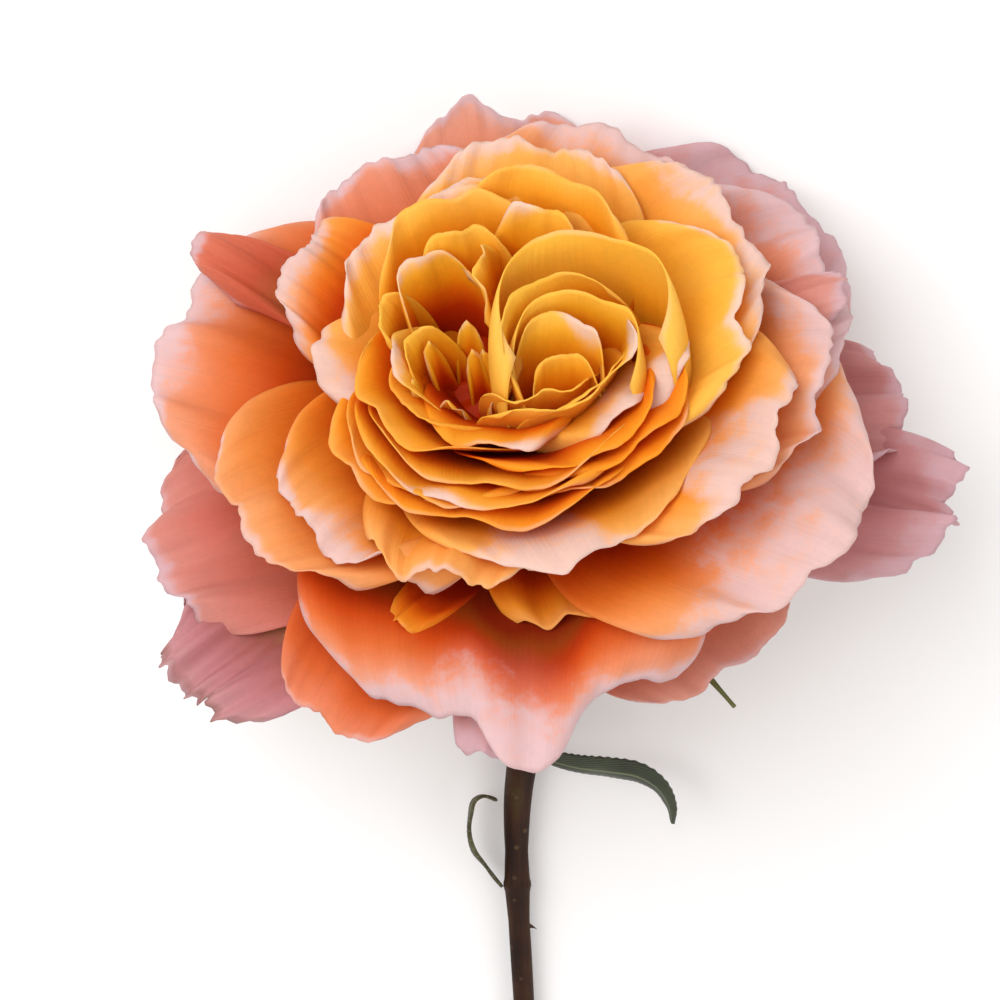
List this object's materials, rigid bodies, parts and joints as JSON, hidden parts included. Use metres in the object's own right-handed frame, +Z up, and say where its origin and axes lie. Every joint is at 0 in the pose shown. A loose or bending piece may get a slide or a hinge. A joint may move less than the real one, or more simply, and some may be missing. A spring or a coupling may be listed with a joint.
{
  "type": "cut garden rose",
  "caption": "Cut garden rose lying on a surface: a full ruffled quartered bloom on a short bare dark stem with narrow bract leaves.",
  "frame": {"origin": "centre of the rose's footprint, on the surface that it lies on", "axes": "+Z up from the surface, +Y along the stem from its cut end towards the bloom, +X to the right as the stem points away"},
  "size_m": [0.125, 0.2466, 0.0779],
  "materials": {
    "petal": "soft matte petal, yellow-orange inside, coral to peach outwards, with pale pink rims and dusty mauve-pink guard petals",
    "calyx": "matte green hip and sepals with a brownish flush",
    "stem": "dark red-brown bark with a faint waxy sheen and olive nodes",
    "leaf": "waxy dark grey-green leaf with fine veins"
  },
  "bodies": {
    "root": {"bloom": "petal", "calyx": "calyx", "stem": "stem", "bract_leaf_left": "leaf", "bract_leaf_right": "leaf"}
  },
  "joints": []
}
